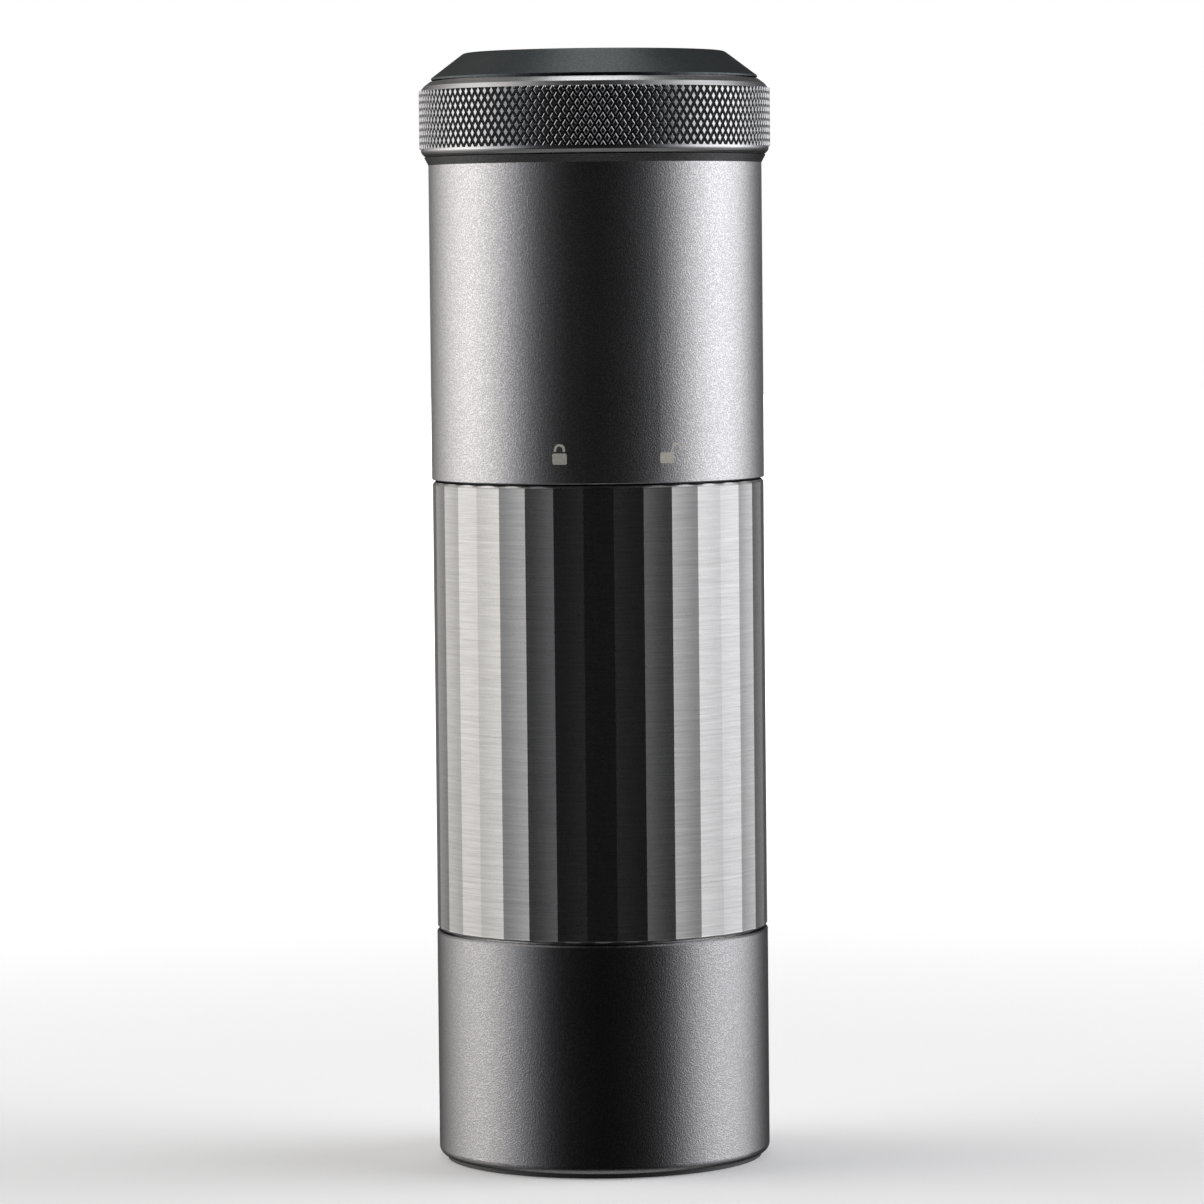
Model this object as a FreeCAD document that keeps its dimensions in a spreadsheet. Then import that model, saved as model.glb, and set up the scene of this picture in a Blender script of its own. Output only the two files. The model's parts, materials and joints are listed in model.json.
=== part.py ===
import FreeCAD, Part
import math
import os
from types import SimpleNamespace

import Sketcher

# Portable battery coffee grinder: a slim cylinder in four stages. From the bottom up they are a
# magnetic cup, a fluted grip with the conical burrs and the bean space, a motor unit that twists
# off, and a knurled speed ring under a bevelled cap with the power button.
# The origin is the centre of the foot, +Z points up and -Y is the front.

NUMBERS = {
    # outside
    "body_radius": 32.0,
    "wall": 2.0,
    "seam": 0.4,
    "cup_top": 44.3,
    "grip_top": 130.9,
    "plain_top": 191.6,
    "tube_top": 193.1,
    "flare_radius": 32.8,
    "ring_bottom": 193.4,
    "ring_top": 207.6,
    "cap_bottom": 207.9,
    "total_height": 213.0,
    "clearance": 0.3,
    "running_fit": 0.06,
    "edge_break": 0.15,
    # cup
    "foot_radius": 30.4,
    "foot_height": 1.6,
    "cup_underside": 0.8,
    "cup_floor": 3.0,
    "cup_corner": 1.5,
    "cup_chamfer": 0.3,
    "rim_ring_bottom": 34.0,
    "rim_ring_bore": 23.2,
    "magnet_circle": 26.1,
    "magnet_radius": 2.0,
    "magnet_length": 2.0,
    # grip and its flutes
    "ridge_radius": 31.9,
    "flute_depth": 0.21,
    "flute_radius": 47.0,
    "flute_chamfer": 0.4,
    "grip_bore": 29.0,
    "collar_radius": 30.4,
    "collar_bottom": 122.7,
    # burr carrier and burrs
    "spigot_radius": 29.6,
    "spigot_bottom": 38.8,
    "carrier_radius": 28.9,
    "carrier_top": 72.9,
    "burr_seat": 48.2,
    "outer_burr_radius": 22.0,
    "outer_burr_top": 66.2,
    "cone_bottom": 48.7,
    "cone_top": 69.2,
    "cone_base_radius": 17.6,
    "cone_tip_radius": 9.0,
    "tooth_change": 57.0,
    "screw_circle": 20.3,
    # shaft and its bearings
    "shaft_radius": 4.0,
    "shaft_bottom": 44.2,
    "shaft_top": 123.1,
    "bearing_radius": 8.0,
    "bearing_height": 5.0,
    "race_depth": 1.0,
    "ball_radius": 0.9,
    "lower_bridge": 75.2,
    "upper_bridge": 106.8,
    "bridge_height": 6.0,
    "dial_radius": 12.5,
    "dial_bottom": 42.2,
    "dial_top": 47.7,
    # bayonet
    "bayonet_bore": 28.1,
    "bayonet_spigot": 27.6,
    "bayonet_lug": 28.9,
    "bayonet_track": 29.3,
    "lug_bottom": 124.2,
    "lug_height": 2.0,
    "lug_sweep": 20.0,
    "twist_angle": 37.0,
    "spigot_end": 123.3,
    "base_floor": 127.8,
    # drive dogs
    "driver_bottom": 118.8,
    "driver_top": 122.8,
    "dog_bottom": 119.4,
    "dog_plate": 123.4,
    "dog_radius": 9.2,
    "dog_sweep": 36.0,
    # gearbox and motor
    "gear_module": 0.5,
    "sun_teeth": 12,
    "planet_teeth": 18,
    "planet_circle": 7.5,
    "gearbox_radius": 14.5,
    "gearbox_bottom": 134.8,
    "gearbox_top": 156.8,
    "motor_radius": 14.0,
    "motor_top": 192.8,
    "armature_radius": 8.9,
    # battery and electronics
    "cell_radius": 7.05,
    "cell_circle": 22.3,
    "cell_bottom": 137.0,
    "cell_height": 49.8,
    "port_height": 182.0,
    "port_width": 15.0,
    "port_tall": 9.4,
    "port_corner": 2.2,
    "port_gap": 0.3,
    "board_seat": 198.4,
    "board_thickness": 1.6,
    # speed ring, cap and button
    "neck_radius": 29.6,
    "neck_bore": 28.2,
    "knurl_radius": 33.7,
    "knurl_bottom": 194.7,
    "knurl_top": 205.8,
    "cap_radius": 31.3,
    "cap_flat": 25.0,
    "light_bore": 9.2,
    "light_radius": 10.5,
    "button_radius": 8.9,
    "button_travel": 0.7,
    # lock marks
    "mark_bottom": 135.0,
    "mark_width": 2.8,
    "mark_body": 2.1,
    "mark_corner": 0.35,
    "mark_depth": 0.1,
}

PRESSURE_ANGLE = math.radians(20)
THIRDS = (0, 120, 240)

doc = FreeCAD.newDocument("portable_coffee_grinder")


class Size:
    """A length or angle: its value, and the sheet expression that gives it."""

    def __init__(self, value, text):
        self.value = value
        self.text = text

    def combined(self, sign, other, value):
        return Size(value, f"({self.text} {sign} {other.text})")

    def __add__(self, other):
        other = size(other)
        return self.combined("+", other, self.value + other.value)

    def __sub__(self, other):
        other = size(other)
        return self.combined("-", other, self.value - other.value)

    def __mul__(self, other):
        other = size(other)
        return self.combined("*", other, self.value * other.value)

    def __truediv__(self, other):
        other = size(other)
        return self.combined("/", other, self.value / other.value)


def size(number):
    if isinstance(number, Size):
        return number
    return Size(float(number), f"{float(number):.9g}")


def fill_sheet():
    """Put the driving dimensions in the sheet and return them as named sizes."""
    sheet = doc.addObject("Spreadsheet::Sheet", "sizes")
    for row, (alias, number) in enumerate(NUMBERS.items(), start=1):
        sheet.set(f"A{row}", str(number))
        sheet.setAlias(f"A{row}", alias)
    doc.recompute()
    return SimpleNamespace(**{alias: Size(number, f"sizes.{alias}") for alias, number in NUMBERS.items()})


d = fill_sheet()
subparts = []


def subpart(item, label):
    """Name a finished piece: its label is also the name of its file."""
    item.Label = label
    subparts.append(item)
    return item


def bind(item, bindings):
    for name, number in bindings.items():
        item.setExpression(name, size(number).text)


def polar(radius, angle):
    """The X and Y of a point at a radius and an angle in degrees."""
    turn = math.radians(angle)
    return radius * round(math.cos(turn), 9), radius * round(math.sin(turn), 9)


def rotated(item, angle):
    item.Placement = FreeCAD.Placement(
        FreeCAD.Vector(0, 0, 0), FreeCAD.Rotation(FreeCAD.Vector(0, 0, 1), angle)
    )
    return item


# ---------------------------------------------------------------- turned pieces


def origin_plane(body, role):
    return next(feature for feature in body.Origin.OriginFeatures if feature.Role == role)


def new_sketch(body, role):
    sketch = body.newObject("Sketcher::SketchObject", "outline")
    sketch.AttachmentSupport = (origin_plane(body, role), [""])
    sketch.MapMode = "FlatFace"
    return sketch


def pin_corner(sketch, line, kind, axis, number):
    """Fix one coordinate of a line's start point to a size of the sheet."""
    if number.value == 0:
        sketch.addConstraint(Sketcher.Constraint("PointOnObject", line, 1, axis))
        return
    index = sketch.addConstraint(Sketcher.Constraint(kind, line, 1, number.value))
    sketch.setExpression(f"Constraints[{index}]", number.text)


def draw_outline(body, corners):
    """Closed outline of straight runs in the XZ plane, from (radius, height) corners."""
    sketch = new_sketch(body, "XZ_Plane")
    corners = [(size(radius), size(height)) for radius, height in corners]
    points = [FreeCAD.Vector(radius.value, height.value, 0) for radius, height in corners]
    for start, end in zip(points, points[1:] + points[:1]):
        sketch.addGeometry(Part.LineSegment(start, end), False)
    for line in range(len(points)):
        following = (line + 1) % len(points)
        sketch.addConstraint(Sketcher.Constraint("Coincident", line, 2, following, 1))
    for line, (radius, height) in enumerate(corners):
        pin_corner(sketch, line, "DistanceX", -2, radius)
        pin_corner(sketch, line, "DistanceY", -1, height)
    return sketch


def turned(name, corners, sweep=360):
    """A body turned about Z from its outline, through the whole circle or part of it."""
    body = doc.addObject("PartDesign::Body", name)
    sketch = draw_outline(body, corners)
    revolution = body.newObject("PartDesign::Revolution", "turning")
    revolution.Profile = (sketch, [""])
    revolution.ReferenceAxis = (sketch, ["V_Axis"])
    bind(revolution, {"Angle": sweep})
    body.Tip = revolution
    return body


def ring(name, inner, outer, bottom, top, sweep=360):
    corners = [(inner, bottom), (outer, bottom), (outer, top), (inner, top)]
    return turned(name, corners, sweep)


def wedge(name, inner, outer, bottom, top, start, sweep):
    """Part of a ring, from a start angle through a sweep, in degrees from +X."""
    return rotated(ring(name, inner, outer, bottom, top, sweep), start)


def round_edge(body, radius, edge_radius, edge_height):
    """Fillet the circular edge at a radius and height."""
    doc.recompute()
    base = body.Tip
    names = [
        f"Edge{number}"
        for number, edge in enumerate(base.Shape.Edges, start=1)
        if isinstance(edge.Curve, Part.Circle)
        and abs(edge.Curve.Radius - edge_radius.value) < 0.01
        and abs(edge.Curve.Center.z - edge_height.value) < 0.01
    ]
    fillet = body.newObject("PartDesign::Fillet", "rounding")
    fillet.Base = (base, names)
    bind(fillet, {"Radius": radius})
    body.Tip = fillet


# ---------------------------------------------------------------- primitives


def cylinder(name, radius, bottom, top, at=(0, 0)):
    item = doc.addObject("Part::Cylinder", name)
    bind(item, {"Radius": radius, "Height": size(top) - bottom})
    bind(item, {"Placement.Base.x": at[0], "Placement.Base.y": at[1], "Placement.Base.z": bottom})
    return item


def ball(name, radius, height, at):
    item = doc.addObject("Part::Sphere", name)
    bind(item, {"Radius": radius})
    bind(item, {"Placement.Base.x": at[0], "Placement.Base.y": at[1], "Placement.Base.z": height})
    return item


def box(name, widths, corner):
    item = doc.addObject("Part::Box", name)
    bind(item, dict(zip(("Length", "Width", "Height"), widths)))
    places = ("Placement.Base.x", "Placement.Base.y", "Placement.Base.z")
    bind(item, dict(zip(places, corner)))
    return item


def arm(name, inner, outer, width, bottom, top, angle):
    """A radial bar with its middle line at an angle."""
    inner, outer, width = size(inner), size(outer), size(width)
    item = doc.addObject("Part::Box", name)
    bind(item, {"Length": outer - inner, "Width": width, "Height": size(top) - bottom})
    near_x, near_y = polar(inner, angle)
    side_x, side_y = polar(width / 2, angle - 90)
    item.Placement = FreeCAD.Placement(
        FreeCAD.Vector(0, 0, 0), FreeCAD.Rotation(FreeCAD.Vector(0, 0, 1), angle)
    )
    bind(item, {
        "Placement.Base.x": near_x + side_x,
        "Placement.Base.y": near_y + side_y,
        "Placement.Base.z": bottom,
    })
    return item


def fused(name, pieces):
    item = doc.addObject("Part::MultiFuse", name)
    item.Shapes = pieces
    return item


def cut(name, base, tools):
    item = doc.addObject("Part::Cut", name)
    item.Base = base
    item.Tool = tools[0] if len(tools) == 1 else fused(f"{name}_tools", tools)
    return item


def group(name, pieces):
    """Separate solids that are kept in one node."""
    item = doc.addObject("Part::Compound", name)
    item.Links = pieces
    return item


def shaped(name, shape):
    item = doc.addObject("Part::Feature", name)
    item.Shape = shape
    return item


def cylinders_around(name, radius, bottom, top, circle, angles):
    return [
        cylinder(f"{name}_{number}", radius, bottom, top, polar(circle, angle))
        for number, angle in enumerate(angles)
    ]


# ---------------------------------------------------------------- gears


def involute(angle):
    return math.tan(angle) - angle


def gear_points(teeth, root, tip, thickness, phase):
    """Corner points of an involute gear's edge. The first tooth points at the phase angle."""
    pitch = d.gear_module.value * teeth / 2
    base = pitch * math.cos(PRESSURE_ANGLE)
    lowest = max(root, base)
    radii = [lowest + (tip - lowest) * step / 3 for step in range(4)]
    half_angles = [
        thickness / 2 / pitch + involute(PRESSURE_ANGLE) - involute(math.acos(base / radius))
        for radius in radii
    ]
    if root < base:
        radii.insert(0, root)
        half_angles.insert(0, half_angles[0])
    points = []
    for tooth in range(teeth):
        middle = math.radians(phase) + 2 * math.pi * tooth / teeth
        rising = [(radius, middle - half) for radius, half in zip(radii, half_angles)]
        falling = [(radius, middle + half) for radius, half in zip(radii, half_angles)]
        for radius, angle in rising + falling[::-1]:
            points.append(FreeCAD.Vector(radius * math.cos(angle), radius * math.sin(angle), 0))
    return points


def prism(points, bottom, top):
    wire = Part.makePolygon(points + points[:1])
    solid = Part.Face(wire).extrude(FreeCAD.Vector(0, 0, top - bottom))
    solid.translate(FreeCAD.Vector(0, 0, bottom))
    return solid


def gear(name, teeth, bottom, top, phase, bore=0.0):
    """A spur gear with stub teeth and a little backlash."""
    module = d.gear_module.value
    pitch = module * teeth / 2
    stub = 0.7 * module
    thickness = math.pi * module / 2 - 0.12
    points = gear_points(teeth, pitch - module, pitch + stub, thickness, phase)
    solid = prism(points, bottom.value, top.value)
    if bore:
        hole = Part.makeCylinder(bore, top.value - bottom.value, FreeCAD.Vector(0, 0, bottom.value))
        solid = solid.cut(hole)
    return shaped(name, solid)


def ring_gear_space(name, bottom, top):
    """The toothed hole of the ring gear, which every planet runs in."""
    module = d.gear_module.value
    teeth = int(d.sun_teeth.value + 2 * d.planet_teeth.value)
    pitch = module * teeth / 2
    width = math.pi * module / 2 + 0.12
    points = gear_points(teeth, pitch - 0.7 * module, pitch + module, width, 180 / teeth)
    return shaped(name, prism(points, bottom.value, top.value))


def planets(stage, bottom, top):
    """Three planets, each with a tooth space facing the sun."""
    teeth = int(d.planet_teeth.value)
    for letter, angle in zip("abc", (90, 210, 330)):
        phase = angle + 180 + 180 / teeth
        name = f"stage_{stage}_planet_{letter}"
        planet = gear(name, teeth, bottom, top, phase, bore=1.08)
        x, y = polar(d.planet_circle, angle)
        planet.Placement = FreeCAD.Placement(FreeCAD.Vector(x.value, y.value, 0), FreeCAD.Rotation())
        subpart(planet, name)


# ---------------------------------------------------------------- bearings


def bearing_outside(name, bottom):
    """Outer ring and balls of a ball bearing."""
    top = bottom + d.bearing_height
    outer = ring(f"{name}_outer", d.bearing_radius - d.race_depth, d.bearing_radius, bottom, top)
    middle = (d.shaft_radius + d.bearing_radius) / 2
    height = bottom + d.bearing_height / 2
    balls = [
        ball(f"{name}_ball_{number}", d.ball_radius, height, polar(middle, 40 * number))
        for number in range(9)
    ]
    return [outer] + balls


def bearing_inside(name, bottom):
    top = bottom + d.bearing_height
    return ring(name, d.shaft_radius, d.shaft_radius + d.race_depth, bottom, top)


# ---------------------------------------------------------------- cup


def build_cup():
    bore = d.body_radius - d.wall
    recess = d.foot_radius + 0.05
    shell = turned("cup_shell", [
        (0, d.foot_height),
        (recess, d.foot_height),
        (recess, d.cup_underside),
        (d.body_radius, d.cup_underside),
        (d.body_radius, d.cup_top - d.cup_chamfer),
        (d.body_radius - d.cup_chamfer, d.cup_top),
        (bore, d.cup_top),
        (bore, d.cup_floor),
        (0, d.cup_floor),
    ])
    round_edge(shell, d.cup_corner, d.body_radius, d.cup_underside)
    subpart(shell, "cup_shell")

    subpart(cylinder("foot_pad", d.foot_radius, 0, d.foot_height), "foot_pad")

    top = d.spigot_bottom - d.seam
    rim = ring("cup_rim", d.rim_ring_bore, bore, d.rim_ring_bottom, top)
    angles = range(0, 360, 60)
    bottom = top - d.magnet_length
    pockets = cylinders_around("rim_pocket", d.magnet_radius, bottom, top, d.magnet_circle, angles)
    subpart(cut("cup_rim_ring", rim, pockets), "cup_rim_ring")
    magnets = cylinders_around("cup_magnet", d.magnet_radius, bottom, top, d.magnet_circle, angles)
    subpart(group("cup_magnets", magnets), "cup_magnets")


# ---------------------------------------------------------------- grip


def cut_flutes(body):
    """Shallow hollow flutes all round the sleeve, the first one centred at the front."""
    doc.recompute()
    before = body.Tip.Shape.Volume
    sketch = new_sketch(body, "XY_Plane")
    centre = d.ridge_radius - d.flute_depth + d.flute_radius
    sketch.addGeometry(
        Part.Circle(FreeCAD.Vector(0, -centre.value, 0), FreeCAD.Vector(0, 0, 1), d.flute_radius.value),
        False,
    )
    sketch.addConstraint(Sketcher.Constraint("PointOnObject", 0, 3, -2))
    place = sketch.addConstraint(Sketcher.Constraint("DistanceY", 0, 3, -centre.value))
    sketch.setExpression(f"Constraints[{place}]", f"-{centre.text}")
    radius = sketch.addConstraint(Sketcher.Constraint("Radius", 0, d.flute_radius.value))
    sketch.setExpression(f"Constraints[{radius}]", d.flute_radius.text)
    pocket = body.newObject("PartDesign::Pocket", "flute")
    pocket.Profile = (sketch, [""])
    pocket.Type = "ThroughAll"
    pocket.Reversed = True
    body.Tip = pocket
    doc.recompute()
    if before - pocket.Shape.Volume < 1:
        raise RuntimeError("the flute pocket points away from the sleeve")
    pattern = body.newObject("PartDesign::PolarPattern", "flutes")
    pattern.Originals = [pocket]
    pattern.Axis = (sketch, ["N_Axis"])
    pattern.Angle = 360
    pattern.Occurrences = 35
    body.Tip = pattern


def build_grip_sleeve():
    bottom = d.cup_top + d.seam
    sleeve = turned("grip_sleeve", [
        (d.grip_bore, bottom),
        (d.ridge_radius - d.flute_chamfer, bottom),
        (d.ridge_radius, bottom + d.flute_chamfer),
        (d.ridge_radius, d.grip_top - d.flute_chamfer),
        (d.ridge_radius - d.flute_chamfer, d.grip_top),
        (d.collar_radius, d.grip_top),
        (d.collar_radius, d.collar_bottom),
        (d.grip_bore, d.collar_bottom),
    ])
    cut_flutes(sleeve)
    subpart(sleeve, "grip_sleeve")


def build_hopper():
    lip_top = d.collar_bottom - 0.5
    hopper = turned("bean_hopper", [
        (d.carrier_radius - 1, d.carrier_top + 0.2),
        (d.carrier_radius, d.carrier_top + 0.2),
        (d.carrier_radius, lip_top),
        (d.carrier_radius - 2.9, lip_top),
        (d.carrier_radius - 2.9, lip_top - 0.8),
        (d.carrier_radius - 1, lip_top - 0.8),
    ])
    subpart(hopper, "bean_hopper")


def build_bayonet_collar():
    collar = ring("collar", d.bayonet_bore, d.collar_radius, d.collar_bottom, d.grip_top)
    inside = d.bayonet_bore - 1
    gap = 1.5
    sweep = d.lug_sweep + 2 * gap
    bottom = d.lug_bottom - d.clearance
    top = d.lug_bottom + d.lug_height + d.clearance
    tracks = []
    for angle in THIRDS:
        start = angle - sweep.value / 2
        entry = wedge(f"entry_{angle}", inside, d.bayonet_track, bottom, d.grip_top + 1, start, sweep)
        turn = wedge(
            f"track_{angle}", inside, d.bayonet_track, bottom, top, start, sweep + d.twist_angle
        )
        tracks += [entry, turn]
    subpart(cut("bayonet_collar", collar, tracks), "bayonet_collar")


def build_bridge(name, bottom):
    """Three-armed bridge that holds a shaft bearing across the bean space."""
    top = bottom + d.bridge_height
    hub = ring(f"{name}_hub", d.bearing_radius, 10.0, bottom, top)
    rim = ring(f"{name}_rim", 26.5, 27.85, bottom, top)
    arms = [arm(f"{name}_arm_{angle}", 9.5, 27.0, 5.0, bottom, top, angle + 90) for angle in THIRDS]
    subpart(fused(name, [hub, rim] + arms), name)


def build_burr_carrier():
    opening = d.outer_burr_radius + 0.5
    lip = d.outer_burr_top + 0.8
    blank = turned("carrier_blank", [
        (opening, d.spigot_bottom),
        (d.spigot_radius, d.spigot_bottom),
        (d.spigot_radius, d.cup_top + d.seam),
        (d.grip_bore, d.cup_top + d.seam),
        (d.grip_bore, d.carrier_top),
        (d.carrier_radius - 1.4, d.carrier_top),
        (d.outer_burr_radius - 1.5, lip),
        (d.outer_burr_radius - 1.5, d.outer_burr_top),
        (d.outer_burr_radius, d.outer_burr_top),
        (d.outer_burr_radius, d.burr_seat),
        (opening, d.burr_seat),
    ])
    angles = range(0, 360, 60)
    bottom = d.spigot_bottom
    top = d.spigot_bottom + d.magnet_length
    pockets = cylinders_around("spigot_pocket", d.magnet_radius, bottom, top, d.magnet_circle, angles)
    subpart(cut("burr_carrier", blank, pockets), "burr_carrier")
    magnets = cylinders_around("spigot_magnet", d.magnet_radius, bottom, top, d.magnet_circle, angles)
    subpart(group("spigot_magnets", magnets), "spigot_magnets")


def star_wire(teeth, tip, valley, height, turn):
    """Saw-tooth ring of cutting edges at one height."""
    points = []
    pitch = 2 * math.pi / teeth
    for tooth in range(teeth):
        for radius, share in ((tip, 0.0), (tip, 0.15), (valley, 0.3), (valley, 0.45)):
            angle = math.radians(turn) + pitch * (tooth + share)
            points.append(FreeCAD.Vector(radius * math.cos(angle), radius * math.sin(angle), height))
    return Part.makePolygon(points + points[:1])


def star_loft(teeth, sections):
    """Loft through saw-tooth rings given as (height, tip radius, valley radius, turn)."""
    wires = [star_wire(teeth, tip, valley, height, turn) for height, tip, valley, turn in sections]
    return Part.makeLoft(wires, True, True)


def cone_radius(height):
    """Radius of the cone burr's cutting edges at a height."""
    share = (height - d.cone_bottom.value) / (d.cone_top.value - d.cone_bottom.value)
    return d.cone_base_radius.value + share * (d.cone_tip_radius.value - d.cone_base_radius.value)


def build_cone_burr():
    low, middle, high = d.cone_bottom.value, d.tooth_change.value, d.cone_top.value
    fine = star_loft(40, [
        (low, cone_radius(low), cone_radius(low) - 0.7, 0),
        (middle, cone_radius(middle), cone_radius(middle) - 1.1, 12),
    ])
    coarse = star_loft(6, [
        (middle, cone_radius(middle), cone_radius(middle) - 3.0, 0),
        (high, cone_radius(high), cone_radius(high) - 2.6, 50),
    ])
    blank = shaped("cone_blank", fine.fuse(coarse))
    bore = cylinder("cone_bore", d.shaft_radius + 0.05, d.cone_bottom - 1, d.cone_top + 1)
    subpart(cut("cone_burr", blank, [bore]), "cone_burr")
    plate_top = d.cone_bottom
    plate = ring("click_plate", d.shaft_radius + 0.05, 11.0, plate_top - 0.7, plate_top)
    subpart(plate, "click_plate")


def build_outer_burr():
    blank = cylinder("outer_burr_blank", d.outer_burr_radius, d.burr_seat, d.outer_burr_top)
    gap = 0.3
    low, middle, high = d.burr_seat.value - 0.5, d.tooth_change.value + 1, d.outer_burr_top.value + 0.5
    fine = star_loft(44, [
        (low, cone_radius(low) + gap, cone_radius(low) + gap + 0.8, 0),
        (middle, cone_radius(middle) + gap + 0.2, cone_radius(middle) + 1.4, -10),
    ])
    coarse = star_loft(8, [
        (middle, cone_radius(middle) + 0.6, cone_radius(middle) + 2.2, 0),
        (high, 17.0, 19.6, -30),
    ])
    space = shaped("grinding_space", fine.fuse(coarse))
    holes = cylinders_around("burr_hole", 0.9, d.burr_seat, d.burr_seat + 3.8, d.screw_circle, THIRDS)
    subpart(cut("outer_burr", blank, [space] + holes), "outer_burr")

    bottom = d.burr_seat - 2
    retainer = ring("retainer_blank", 18.2, d.outer_burr_radius + 0.45, bottom, d.burr_seat)
    holes = cylinders_around("retainer_hole", 0.9, bottom, d.burr_seat, d.screw_circle, THIRDS)
    subpart(cut("burr_retainer", retainer, holes), "burr_retainer")

    screws = []
    for angle in THIRDS:
        place = polar(d.screw_circle, angle)
        head = cylinder(f"burr_screw_head_{angle}", 1.7, bottom - 1, bottom, place)
        shank = cylinder(f"burr_screw_shank_{angle}", 0.9, bottom, d.burr_seat + 3.6, place)
        screws.append(fused(f"burr_screw_{angle}", [head, shank]))
    subpart(group("burr_screws", screws), "burr_screws")


def build_grip():
    build_grip_sleeve()
    build_hopper()
    build_bayonet_collar()
    build_bridge("lower_bearing_bridge", d.lower_bridge)
    build_bridge("upper_bearing_bridge", d.upper_bridge)
    build_burr_carrier()
    build_outer_burr()
    lower = bearing_outside("lower_bearing", d.lower_bridge + 0.5)
    upper = bearing_outside("upper_bearing", d.upper_bridge + 0.5)
    subpart(group("shaft_bearings", lower + upper), "shaft_bearings")


# ---------------------------------------------------------------- burr shaft, cone and dial


def build_burr_shaft():
    subpart(cylinder("drive_shaft", d.shaft_radius, d.shaft_bottom, d.shaft_top), "drive_shaft")

    hub_radius = d.shaft_radius + 1
    hub = ring("driver_hub", d.shaft_radius, hub_radius, d.driver_bottom, d.driver_top)
    lobes = [
        wedge(f"driver_lobe_{angle}", d.shaft_radius + 0.5, d.dog_radius - 0.2, d.driver_bottom,
              d.driver_top, angle - d.dog_sweep.value / 2, d.dog_sweep)
        for angle in (0, 180)
    ]
    subpart(fused("shaft_driver", [hub] + lobes), "shaft_driver")

    inner_rings = [
        bearing_inside("lower_inner_ring", d.lower_bridge + 0.5),
        bearing_inside("upper_inner_ring", d.upper_bridge + 0.5),
    ]
    subpart(group("bearing_inner_rings", inner_rings), "bearing_inner_rings")

    clip_bottom = d.upper_bridge + d.bridge_height + 0.4
    clip = ring("shaft_clip", d.shaft_radius, 5.4, clip_bottom, clip_bottom + 0.8)
    washer_top = d.lower_bridge - 0.4
    washer = ring("spring_washer", d.shaft_radius, 7.5, washer_top - 0.8, washer_top)
    subpart(group("shaft_clips", [clip, washer]), "shaft_clips")


def build_burr_spring():
    """Coil spring that keeps the cone burr against its dial."""
    wire = size(0.45)
    bottom = d.cone_top + wire + 0.1
    top = d.lower_bridge - 1.3 - wire
    helix = doc.addObject("Part::Helix", "spring_line")
    bind(helix, {"Pitch": (top - bottom) / 3, "Height": top - bottom, "Radius": 5.6})
    bind(helix, {"Placement.Base.z": bottom})
    section = doc.addObject("Part::Circle", "spring_wire")
    section.Placement = FreeCAD.Placement(
        FreeCAD.Vector(0, 0, 0), FreeCAD.Rotation(FreeCAD.Vector(1, 0, 0), 90)
    )
    bind(section, {"Radius": wire, "Placement.Base.x": 5.6, "Placement.Base.z": bottom})
    spring = doc.addObject("Part::Sweep", "burr_spring")
    spring.Sections = [section]
    spring.Spine = (helix, [])
    spring.Solid = True
    spring.Frenet = True
    subpart(spring, "burr_spring")


def build_adjust_dial():
    disc = cylinder("dial_disc", d.dial_radius, d.dial_bottom, d.dial_top)
    bore = cylinder("dial_bore", d.shaft_radius + d.running_fit, d.shaft_bottom - 0.6, d.dial_top + 1)
    scallops = cylinders_around(
        "dial_scallop", 2.0, d.dial_bottom - 1, d.dial_top + 1, d.dial_radius + 1.2, range(0, 360, 30)
    )
    subpart(cut("adjust_dial", disc, [bore] + scallops), "adjust_dial")


# ---------------------------------------------------------------- motor unit


def rounded_plate(name, widths, corner, radius):
    """A box with its four edges along Y rounded."""
    plate = box(f"{name}_blank", widths, corner)
    doc.recompute()
    along_y = [
        number
        for number, edge in enumerate(plate.Shape.Edges, start=1)
        if abs(edge.tangentAt(edge.FirstParameter).y) > 0.99
    ]
    item = doc.addObject("Part::Fillet", name)
    item.Base = plate
    item.Edges = [(number, radius.value, radius.value) for number in along_y]
    return item


def hoop(name, radius, shift, front, foot, arch):
    """Upright rod end over two legs, seen along Y: a shackle's outline."""
    rod = doc.addObject("Part::Cylinder", f"{name}_rod")
    rod.Placement = FreeCAD.Placement(
        FreeCAD.Vector(0, 0, 0), FreeCAD.Rotation(FreeCAD.Vector(1, 0, 0), -90)
    )
    bind(rod, {"Radius": radius, "Height": 3, "Placement.Base.x": shift})
    bind(rod, {"Placement.Base.y": front, "Placement.Base.z": arch})
    legs = box(f"{name}_legs", (radius * 2, 3, arch - foot), (shift - radius, front, foot))
    return fused(name, [rod, legs])


def lock_mark(name, angle, shackle_shift):
    """A small padlock, inlaid flush in the tube: body below, shackle above."""
    outside = d.body_radius
    front = size(0) - outside - 1
    corner = (size(0) - d.mark_width / 2, front, d.mark_bottom)
    body = rounded_plate(f"{name}_body", (d.mark_width, 3, d.mark_body), corner, d.mark_corner)
    shift = size(shackle_shift)
    foot = d.mark_bottom + d.mark_body + 0.3
    arch = foot + 0.4
    bow = hoop(f"{name}_bow", size(1.08), shift, front, foot, arch)
    inside = hoop(f"{name}_inside", size(0.6), shift, front, foot, arch)
    below = box(f"{name}_below", (4, 5, 2), (shift - 2, front - 1, foot - 2))
    shackle = cut(f"{name}_shackle", bow, [inside, below])
    flat = fused(f"{name}_flat", [body, shackle])
    skin = ring(f"{name}_skin", outside - d.mark_depth, outside, d.mark_bottom - 1, d.mark_bottom + 6)
    mark = doc.addObject("Part::Common", name)
    mark.Base = flat
    mark.Tool = skin
    return rotated(mark, angle)


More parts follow.
